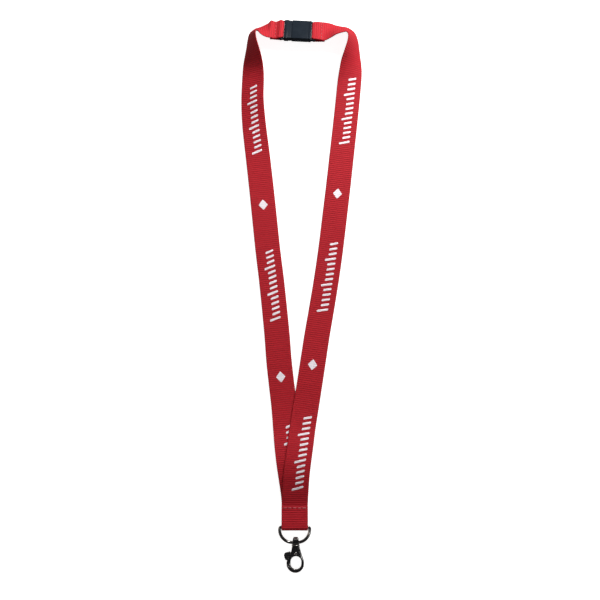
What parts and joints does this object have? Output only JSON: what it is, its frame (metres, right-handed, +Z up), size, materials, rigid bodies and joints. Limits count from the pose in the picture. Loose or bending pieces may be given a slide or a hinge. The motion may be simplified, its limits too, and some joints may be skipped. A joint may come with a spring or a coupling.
{
  "type": "lanyard",
  "caption": "Neck lanyard of ribbed flat webbing with a breakaway buckle, a sewn end with a D-ring, and a swivel trigger hook, lying flat.",
  "frame": {"origin": "middle of the underside of the sewn end tab, on the surface that the lanyard lies on", "axes": "+X to the right of the lanyard as it is worn facing the viewer, +Y along it from the hook to the breakaway buckle, +Z up from the surface it lies on"},
  "size_m": [0.0996, 0.4414, 0.019],
  "materials": {
    "webbing": "ribbed woven polyester",
    "thread": "twisted polyester thread",
    "print": "matt screen print",
    "buckle_plastic": "fine-textured moulded acetal",
    "black_nickel": "polished black nickel plate",
    "spring_steel": "drawn wire"
  },
  "bodies": {
    "loop": {"strap_right_lower": "webbing", "strap_right_upper": "webbing", "strap_left_lower": "webbing", "end_tab": "webbing", "tab_stitching": "thread", "buckle_stitching_right": "thread", "buckle_socket": "buckle_plastic"},
    "plug_side": {"strap_left_middle": "webbing", "strap_left_upper": "webbing", "buckle_stitching_left": "thread", "buckle_plug": "buckle_plastic"},
    "ring": {"d_ring": "black_nickel"},
    "eye": {"swivel_eye": "black_nickel"},
    "hook": {"hook_body": "black_nickel", "trigger_pin": "black_nickel", "trigger_spring": "spring_steel"},
    "trigger": {"trigger_lever": "black_nickel"}
  },
  "joints": [
    {"name": "buckle_release", "type": "slide", "parent": "loop", "child": "plug_side", "axis": [-0.9986, 0.0523, 0], "range_m": [0, 0.02]},
    {"name": "ring_hinge", "type": "hinge", "parent": "loop", "child": "ring", "pos_m": [0, -0.0058, 0.0025], "axis": [1, 0, 0], "range_deg": [-85, 85]},
    {"name": "eye_hinge", "type": "hinge", "parent": "ring", "child": "eye", "pos_m": [0.0008, -0.0169, 0.0025], "axis": [1, 0, 0], "range_deg": [-75, 75]},
    {"name": "hook_swivel", "type": "hinge", "parent": "eye", "child": "hook", "pos_m": [0.0008, -0.021, 0.003], "axis": [0, 1, 0], "continuous": true},
    {"name": "trigger_hinge", "type": "hinge", "parent": "hook", "child": "trigger", "pos_m": [0.0006, -0.0249, 0.003], "axis": [0, 0, 1], "range_deg": [0, 25], "stiffness_Nm_per_rad": 0.004, "springref_deg": -17.19, "deforming": ["trigger_spring"]}
  ]
}
